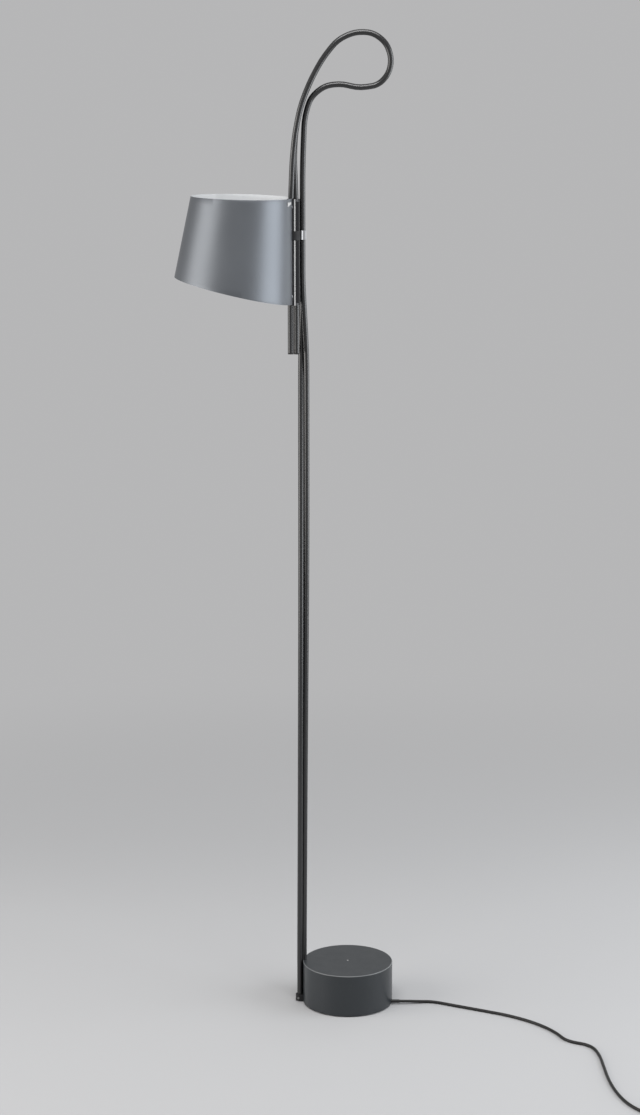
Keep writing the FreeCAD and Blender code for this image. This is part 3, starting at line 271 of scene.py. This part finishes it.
def make_scuffs():
    """Masks of thin scuffs and of dust specks."""
    group, given, result = new_group(
        "scuffs_and_dust", ["Scuffs", "Dust"], ["Scuff Mask", "Dust Mask"],
    )
    streaks = noise(group, drawn_out(group, given["Place"], SCUFF_SCALE, SCUFF_TURN), 1.0, 4.0, 0.7)
    specks = noise(group, given["Place"], SPECKS_PER_METRE, 1.0)
    thin = spread(group, streaks, *SCUFF_LIMITS)
    thick = spread(group, specks, *SPECK_LIMITS)
    group.links.new(maths(group, "MULTIPLY", thin, given["Scuffs"]), result["Scuff Mask"])
    group.links.new(maths(group, "MULTIPLY", thick, given["Dust"]), result["Dust Mask"])
    return group


def make_painted_edge_highlight():
    """A mask for a painted highlight along the rounded top edge of a disc that stands at the middle
    of the frame.
    """
    group, given, result = new_group("rim_painted_highlight", ["Radius", "Height", "Rounding"], ["Rim Mask"])
    flat = add_node(group, "VectorMath", operation="MULTIPLY")
    flat.inputs[1].default_value = (1.0, 1.0, 0.0)
    group.links.new(given["Place"], flat.inputs[0])
    out = add_node(group, "VectorMath", operation="LENGTH")
    group.links.new(flat.outputs["Vector"], out.inputs[0])
    up = add_node(group, "SeparateXYZ")
    group.links.new(given["Place"], up.inputs[0])
    last = maths(group, "MULTIPLY", given["Rounding"], RIM_FULL_AT)
    masks = []
    for distance, limit in ((out.outputs["Value"], "Radius"), (up.outputs["Z"], "Height")):
        begins = maths(group, "SUBTRACT", given[limit], given["Rounding"])
        full = maths(group, "SUBTRACT", given[limit], last)
        masks.append(spread(group, distance, begins, full))
    group.links.new(maths(group, "MULTIPLY", *masks), result["Rim Mask"])
    return group


FINE_GRAIN = make_fine_grain()
SCUFFS = make_scuffs()
PAINTED_EDGE_HIGHLIGHT = make_painted_edge_highlight()


def place_group(tree, group, place, **values):
    """Places a group in a material; each value goes to the input of the same name."""
    node = tree.nodes.new("ShaderNodeGroup")
    node.node_tree = group
    tree.links.new(place, node.inputs["Place"])
    for label, value in values.items():
        node.inputs[label.replace("_", " ").title()].default_value = value
    return node.outputs


# ---- finishes ----

DUST = (0.5, 0.49, 0.47, 1.0)
SCUFF_PALER = 1.5  # times the colour
SCUFF_ROUGHER = 0.15
COAT_ROUGHNESS = 0.12
BUMP_STRENGTH = 0.6


def shade_of(colour, factor):
    return (*(min(channel * factor, 1.0) for channel in colour), 1.0)


def finish(
    name,
    colour,
    roughness,
    metallic=0.0,
    grain_scale=2500.0,
    grain_depth=0.00002,
    mottle_scale=30.0,
    tone=0.08,
    rough_spread=0.06,
    scuffs=0.2,
    dust=0.15,
    coat=0.0,
    specular=0.5,
    stretch=None,
    rim=None,
):
    """A finish with grain, mottled tone and roughness, scuffs and dust.

    stretch draws the grain out one way, and rim is the colour, radius, height and rounding of a
    painted highlight laid along a round edge.
    """
    material = bpy.data.materials.new(name)
    material.use_nodes = True
    tree = material.node_tree
    surface = tree.nodes["Principled BSDF"]
    spot = add_node(tree, "TexCoord").outputs["Object"]
    grain_spot = drawn_out(tree, spot, stretch) if stretch else spot
    grain = place_group(
        tree, FINE_GRAIN, grain_spot, grain_scale=grain_scale, mottle_scale=mottle_scale,
    )
    marks = place_group(tree, SCUFFS, spot, scuffs=scuffs, dust=dust)

    darker, lighter = shade_of(colour, 1 - tone), shade_of(colour, 1 + tone)
    paint = mix_colour(tree, grain["Mottle"], darker, lighter)
    paint = mix_colour(tree, marks["Scuff Mask"], paint, shade_of(colour, SCUFF_PALER))
    paint = mix_colour(tree, marks["Dust Mask"], paint, DUST)
    # rim: a painted highlight, the colour lightened along the rounded edge
    if rim:
        highlight_colour, radius, height, rounding = rim
        edge = place_group(
            tree, PAINTED_EDGE_HIGHLIGHT, spot, radius=radius, height=height, rounding=rounding,
        )
        paint = mix_colour(tree, edge["Rim Mask"], paint, (*highlight_colour, 1.0))
    tree.links.new(paint, surface.inputs["Base Color"])

    least, most = roughness - rough_spread, roughness + rough_spread
    rough = spread(tree, grain["Mottle"], 0.0, 1.0, least, most)
    scuffed = maths(tree, "MULTIPLY", marks["Scuff Mask"], SCUFF_ROUGHER)
    rough = maths(tree, "ADD", rough, scuffed, clamp=True)
    tree.links.new(rough, surface.inputs["Roughness"])

    surface.inputs["Metallic"].default_value = metallic
    surface.inputs["Coat Weight"].default_value = coat
    surface.inputs["Coat Roughness"].default_value = COAT_ROUGHNESS
    surface.inputs["Specular IOR Level"].default_value = specular
    bump = add_node(tree, "Bump")
    bump.inputs["Distance"].default_value = grain_depth
    bump.inputs["Strength"].default_value = BUMP_STRENGTH
    tree.links.new(grain["Height"], bump.inputs["Height"])
    tree.links.new(bump.outputs["Normal"], surface.inputs["Normal"])
    return material


# the colour of the painted highlight along the base's rounded top edge
PAINTED_HIGHLIGHT_GREY = (0.17, 0.175, 0.18)
BASE_ROUNDING = 0.0016


def base_painted_highlight():
    """The painted highlight all the way round the base's rounded top edge."""
    low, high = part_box("base_weight")
    return PAINTED_HIGHLIGHT_GREY, (high[0] - low[0]) / 2, high[2], BASE_ROUNDING


# by the record's material slots
FINISHES = {
    "slate_paint": finish(
        "slate_powder_coat", (0.0125, 0.0162, 0.0195), 0.42, grain_scale=1100,
        grain_depth=0.000012, tone=0.06, rough_spread=0.05, scuffs=0.10, dust=0.06, coat=0.25,
        # the rim is a painted highlight along the base's top edge
        rim=base_painted_highlight(),
    ),
    "strand_black": finish(
        "satin_black_sleeve", (0.007, 0.007, 0.0075), 0.27, grain_scale=700,
        grain_depth=0.000001, tone=0.05, rough_spread=0.015, scuffs=0.03, dust=0.0,
        stretch=(1.0, 1.0, 0.04), specular=0.75,
    ),
    "carriage_black": finish(
        "gloss_black_tube", (0.007, 0.007, 0.008), 0.12, grain_scale=1500,
        grain_depth=0.000002, tone=0.10, rough_spread=0.03, scuffs=0.08, dust=0.03, specular=0.30,
    ),
    "ring_polish": finish(
        "polished_ring", (0.66, 0.67, 0.69), 0.14, metallic=1.0, grain_scale=1500,
        grain_depth=0.000001, tone=0.03, rough_spread=0.04, scuffs=0.06, dust=0.02,
    ),
    "collar_black": finish(
        "matt_black_moulding", (0.010, 0.010, 0.011), 0.62, grain_scale=1400,
        grain_depth=0.00003, specular=0.35,
    ),
    "rod_core": finish(
        "glass_fibre", (0.55, 0.52, 0.40), 0.45, stretch=(1.0, 1.0, 0.05), scuffs=0.0,
    ),
    "mount_metal": finish(
        "cast_mount", (0.40, 0.41, 0.43), 0.48, metallic=1.0, grain_scale=900,
        grain_depth=0.00003,
    ),
    "sink_metal": finish(
        "blasted_heat_sink", (0.34, 0.35, 0.36), 0.5, metallic=1.0, grain_scale=1500,
        grain_depth=0.00003,
    ),
    "screw_steel": finish(
        "dark_plated_steel", (0.22, 0.22, 0.215), 0.42, metallic=1.0, grain_depth=0.000004,
    ),
    "tab_white": finish(
        "white_tab", (0.46, 0.46, 0.455), 0.5, tone=0.02, scuffs=0.05, dust=0.05,
    ),
    "board_white": finish("white_solder_mask", (0.75, 0.77, 0.74), 0.35, tone=0.03),
    "board_green": finish("green_solder_mask", (0.02, 0.14, 0.05), 0.3, tone=0.05),
    "chip_yellow": finish("phosphor_face", (0.85, 0.65, 0.12), 0.35, scuffs=0.0, dust=0.0),
    "diffuser_opal": finish("opal_diffuser", (0.82, 0.82, 0.80), 0.4, tone=0.02, scuffs=0.02),
    "stud_metal": finish(
        "polished_stud", (0.85, 0.85, 0.84), 0.12, metallic=1.0, grain_depth=0.000002,
        tone=0.02, dust=0.0,
    ),
    "pad_rubber": finish(
        "ribbed_rubber", (0.016, 0.016, 0.016), 0.8, grain_scale=700, grain_depth=0.0001,
    ),
    "cover_black": finish(
        "grained_cover", (0.018, 0.018, 0.019), 0.6, grain_scale=800, grain_depth=0.0001,
    ),
    "case_grey": finish(
        "grained_case", (0.45, 0.46, 0.46), 0.55, grain_scale=900, grain_depth=0.00008,
    ),
    "terminal_white": finish("terminal_moulding", (0.70, 0.68, 0.60), 0.4, tone=0.04),
    "lead_black": finish(
        "lead_sheath", (0.010, 0.0095, 0.009), 0.42, grain_scale=1500, grain_depth=0.00001,
        dust=0.12, specular=0.35,
    ),
    "wire_red": finish("wire_insulation", (0.35, 0.02, 0.015), 0.35, tone=0.05),
    "pin_brass": finish(
        "nickel_plated_pin", (0.70, 0.68, 0.62), 0.22, metallic=1.0, grain_depth=0.000004,
        tone=0.05,
    ),
}
SHADE_OUTSIDE = finish(
    "satin_shade_metal", (0.150, 0.160, 0.174), 0.45, metallic=0.9, grain_scale=2200,
    grain_depth=0.000006, mottle_scale=9.0, tone=0.025, rough_spread=0.025, scuffs=0.04, dust=0.03,
)
SHADE_INSIDE = finish(
    "white_shade_lining", (0.70, 0.71, 0.72), 0.55, grain_scale=1800, grain_depth=0.00001,
    tone=0.02, rough_spread=0.03, scuffs=0.03, dust=0.06,
)
SHADE_EDGE = finish(
    "cut_sheet_edge", (0.62, 0.63, 0.65), 0.35, metallic=0.6, tone=0.04, scuffs=0.05,
)


def wear(thing, material):
    thing.data.materials.clear()
    thing.data.materials.append(material)


for entry in frame["record"]["subparts"]:
    if entry["material_slot"] in FINISHES:  # the shade's slot isn't: its sheet is remade below
        wear(NODES[entry["node"]], FINISHES[entry["material_slot"]])
wear(lead, FINISHES["lead_black"])

# ---- shade ----

SHADE_EDGE_X = -0.0930  # the cone's upright side, next to the carriage
HEAD_Y = -0.0093  # the middle of the head
APEX_Z = 2.1742  # where the cone would end in a point
HALF_ANGLE = math.radians(6)
SKIN_TOP = 1.45  # the skin's height before its rims are cut
SKIN_FOOT = 1.15
SHEET = 0.001
SLOT_HALF = 0.0116  # half the width of the slot along the upright side
SLOT_REACH = 0.02  # the slot's faces lie within this of the upright side
RIM_HIGH = 1.389  # the upper and the lower rim at the upright side
RIM_LOW = 1.2167
TOP_TILT = math.radians(1.4)
MOUTH_TILT = math.radians(13.1)
SHADE_STEPS = 160
UP_STEPS = 24
EDGE_BEVEL = 0.0003
SHARP_ANGLE = math.radians(60)
WELD = 0.00001  # points nearer than this are one
TAB_FOOT = 0.12  # of the tab's width, kept at its foot
TAB_SHOULDER = 0.42  # of its height, kept at its inner side


def finished_piece(name, mesh_maker, *materials, smooth=True):
    """A piece whose mesh is made in place by the maker."""
    mesh = bpy.data.meshes.new(name)
    work = bmesh.new()
    mesh_maker(work)
    bmesh.ops.recalc_face_normals(work, faces=work.faces)
    work.to_mesh(mesh)
    work.free()
    for polygon in mesh.polygons:
        polygon.use_smooth = smooth
    for material in materials:
        mesh.materials.append(material)
    return add_object(name, mesh)


def cut_by_plane(work, point, normal, **cleared):
    """Cuts the whole mesh along a plane, and clears what lies on the side that is named."""
    return bmesh.ops.bisect_plane(
        work, geom=[*work.verts, *work.edges, *work.faces], plane_co=point, plane_no=normal,
        **cleared,
    )


def shape_shade(work):
    """The cone's skin, cut by the two rims' planes and opened at the stem."""
    near = (APEX_Z - SKIN_TOP) / math.cos(HALF_ANGLE)
    far = (APEX_Z - SKIN_FOOT) / math.cos(HALF_ANGLE)
    foot = bmesh.ops.create_circle(
        work, cap_ends=False, segments=SHADE_STEPS, radius=far * math.tan(HALF_ANGLE),
    )
    bmesh.ops.translate(work, verts=foot["verts"], vec=(0, 0, -far))
    ring = list(work.edges)
    levels = [far + (near - far) * step / UP_STEPS for step in range(UP_STEPS + 1)]
    for before, after in zip(levels, levels[1:]):
        grown = bmesh.ops.extrude_edge_only(work, edges=ring)["geom"]
        moved = [item for item in grown if isinstance(item, bmesh.types.BMVert)]
        ring = [item for item in grown if isinstance(item, bmesh.types.BMEdge)]
        bmesh.ops.scale(work, vec=(after / before, after / before, 1), verts=moved)
        bmesh.ops.translate(work, verts=moved, vec=(0, 0, before - after))
    apex = Matrix.Translation((SHADE_EDGE_X, HEAD_Y, APEX_Z))
    lean = Matrix.Rotation(HALF_ANGLE, 4, "Y")
    bmesh.ops.transform(work, matrix=apex @ lean, verts=work.verts)

    cut_by_plane(
        work, (SHADE_EDGE_X, 0, RIM_HIGH), (math.sin(TOP_TILT), 0, math.cos(TOP_TILT)),
        clear_outer=True,
    )
    cut_by_plane(
        work, (SHADE_EDGE_X, 0, RIM_LOW), (math.sin(MOUTH_TILT), 0, math.cos(MOUTH_TILT)),
        clear_inner=True,
    )
    for side in (1, -1):
        cut_by_plane(work, (0, HEAD_Y + side * SLOT_HALF, 0), (0, side, 0))
    opened = []
    for face in work.faces:
        middle = face.calc_center_median()
        if abs(middle.y - HEAD_Y) < SLOT_HALF and middle.x > SHADE_EDGE_X - SLOT_REACH:
            opened.append(face)
    bmesh.ops.delete(work, geom=opened, context="FACES")
    bmesh.ops.remove_doubles(work, verts=work.verts, dist=WELD)


def make_shade():
    """The shade's sheet: metal outside, white inside, bare along its cut edges."""
    shade = finished_piece("shade_sheet", shape_shade, SHADE_OUTSIDE, SHADE_INSIDE, SHADE_EDGE)
    wall = shade.modifiers.new("sheet", "SOLIDIFY")
    wall.thickness = SHEET
    wall.offset = -1
    wall.use_even_offset = True
    wall.material_offset = 1
    wall.material_offset_rim = 2
    edge = shade.modifiers.new("edge", "BEVEL")
    edge.width = EDGE_BEVEL
    edge.segments = 2
    edge.limit_method = "ANGLE"
    edge.angle_limit = SHARP_ANGLE
    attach(shade, "head")
    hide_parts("shade")


def cut_tab(work):
    """The tab's plate with its lower inner corner cut away."""
    work.from_mesh(NODES["corner_tab"].data)
    bmesh.ops.remove_doubles(work, verts=work.verts, dist=WELD)
    low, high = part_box("corner_tab")
    foot = Vector((low[0] + TAB_FOOT * (high[0] - low[0]), 0, low[2]))
    shoulder = Vector((high[0], 0, high[2] - TAB_SHOULDER * (high[2] - low[2])))
    along = shoulder - foot
    cut = cut_by_plane(work, foot, (along.z, 0, -along.x), clear_outer=True)
    rim = [item for item in cut["geom_cut"] if isinstance(item, bmesh.types.BMEdge)]
    bmesh.ops.holes_fill(work, edges=rim)


def make_corner_tab():
    tab = finished_piece("corner_tab_plate", cut_tab, FINISHES["tab_white"], smooth=False)
    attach(tab, "head")
    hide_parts("corner_tab")


make_shade()
make_corner_tab()

# ---- studio ----

PALE_FLOOR = (0.45, 0.45, 0.455, 1)
FLOOR_ROUGHNESS = 0.75
FLOOR_SIZE = 10.0
BACKGROUND = (0.47, 0.47, 0.475, 1)
FADE_START = 0.7  # metres from the lamp
FADE_END = 2.3
ROOM_LIGHT = (0.97, 0.98, 1.0, 1)
ROOM_STRENGTH = 0.34
WARM = (1.0, 0.975, 0.94)
PLAIN = (1.0, 1.0, 1.0)
COOL = (0.93, 0.965, 1.0)
# place, aim, width and height, watts, colour
SOFTBOXES = {
    "left_softbox": ((-2.45, -0.75, 1.2), (-0.18, 0, 1.2), (2.1, 2.3), 52, WARM),
    "right_softbox": ((2.25, -0.50, 1.2), (-0.18, 0, 1.2), (2.1, 2.3), 54, COOL),
    "back_softbox": ((1.9, 2.3, 1.3), (-0.1, 0, 1.3), (1.6, 2.0), 10, COOL),
    "top_softbox": ((0.0, -0.9, 4.0), (0, -0.1, 0.4), (3.2, 2.6), 40, PLAIN),
    "ceiling_strip": ((0.0, -1.45, 3.4), (0, -0.1, 0.1), (2.4, 0.8), 50, PLAIN),
    "front_strip": ((1.15, -2.5, 0.9), (-0.09, 0, 1.3), (1.0, 1.9), 135, PLAIN),
    "ring_light": ((-1.3, -2.6, 1.3), (-0.09, 0, 1.3), (2.2, 1.2), 14, PLAIN),
}
# a flagged softbox lights the named nodes alone, or all but them
FLAGS = {
    "right_softbox": ("EXCLUDE", ["carriage_tube", "stem_ring"]),
    "front_strip": ("INCLUDE", ["carriage_tube", "carriage_top_ring", "carriage_bottom_ring"]),
    "ring_light": ("INCLUDE", ["stem_ring"]),
}


def make_floor_finish():
    """A pale matt floor that fades with distance into the plain background."""
    material = bpy.data.materials.new("plain_pale_floor")
    material.use_nodes = True
    tree = material.node_tree
    surface = tree.nodes["Principled BSDF"]
    surface.inputs["Base Color"].default_value = PALE_FLOOR
    surface.inputs["Roughness"].default_value = FLOOR_ROUGHNESS
    far = add_node(tree, "Emission")
    far.inputs["Color"].default_value = BACKGROUND
    distance = add_node(tree, "VectorMath", operation="LENGTH")
    tree.links.new(add_node(tree, "TexCoord").outputs["Object"], distance.inputs[0])
    fade = add_node(tree, "MapRange", interpolation_type="SMOOTHSTEP")
    fade.inputs["From Min"].default_value = FADE_START
    fade.inputs["From Max"].default_value = FADE_END
    tree.links.new(distance.outputs["Value"], fade.inputs["Value"])
    blend = add_node(tree, "MixShader")
    tree.links.new(fade.outputs["Result"], blend.inputs["Fac"])
    tree.links.new(surface.outputs["BSDF"], blend.inputs[1])
    tree.links.new(far.outputs["Emission"], blend.inputs[2])
    tree.links.new(blend.outputs["Shader"], tree.nodes["Material Output"].inputs["Surface"])
    return material


def make_floor():
    mesh = bpy.data.meshes.new("studio_floor")
    work = bmesh.new()
    bmesh.ops.create_grid(work, x_segments=1, y_segments=1, size=FLOOR_SIZE / 2)
    work.to_mesh(mesh)
    work.free()
    mesh.materials.append(make_floor_finish())
    add_object("studio_floor", mesh)


def sees_background(tree):
    """1 for rays from the camera, from gloss and through glass, else 0."""
    path = add_node(tree, "LightPath").outputs
    direct = maths(tree, "MAXIMUM", path["Is Camera Ray"], path["Is Glossy Ray"])
    return maths(tree, "MAXIMUM", direct, path["Is Transmission Ray"])


def make_world():
    """Soft light from all round, and the plain background behind the floor."""
    world = bpy.data.worlds.new("studio_world")
    bpy.context.scene.world = world
    world.use_nodes = True
    tree = world.node_tree
    room = tree.nodes["Background"]
    room.inputs["Color"].default_value = ROOM_LIGHT
    room.inputs["Strength"].default_value = ROOM_STRENGTH
    backdrop = add_node(tree, "Background")
    backdrop.inputs["Color"].default_value = BACKGROUND
    blend = add_node(tree, "MixShader")
    tree.links.new(sees_background(tree), blend.inputs["Fac"])
    tree.links.new(room.outputs["Background"], blend.inputs[1])
    tree.links.new(backdrop.outputs["Background"], blend.inputs[2])
    tree.links.new(blend.outputs["Shader"], tree.nodes["World Output"].inputs["Surface"])


def add_softbox(name, place, aim, size, power, colour):
    light = bpy.data.lights.new(name, "AREA")
    light.shape = "RECTANGLE"
    light.size, light.size_y = size
    light.energy = power
    light.color = colour
    softbox = add_object(name, light)
    softbox.location = place
    facing = (Vector(aim) - Vector(place)).to_track_quat("-Z", "Y")
    softbox.rotation_euler = facing.to_euler()
    return softbox


def flag(softbox, state, names):
    """Keeps a softbox's light on the named nodes alone or off them, as flags do in a studio."""
    chosen = bpy.data.collections.new(softbox.name + "_flagged")
    for name in names:
        chosen.objects.link(NODES[name])
    for linked in chosen.collection_objects:
        linked.light_linking.link_state = state
    softbox.light_linking.receiver_collection = chosen


def make_lights():
    for name, setting in SOFTBOXES.items():
        softbox = add_softbox(name, *setting)
        if name in FLAGS:
            flag(softbox, *FLAGS[name])


make_floor()
make_world()
make_lights()
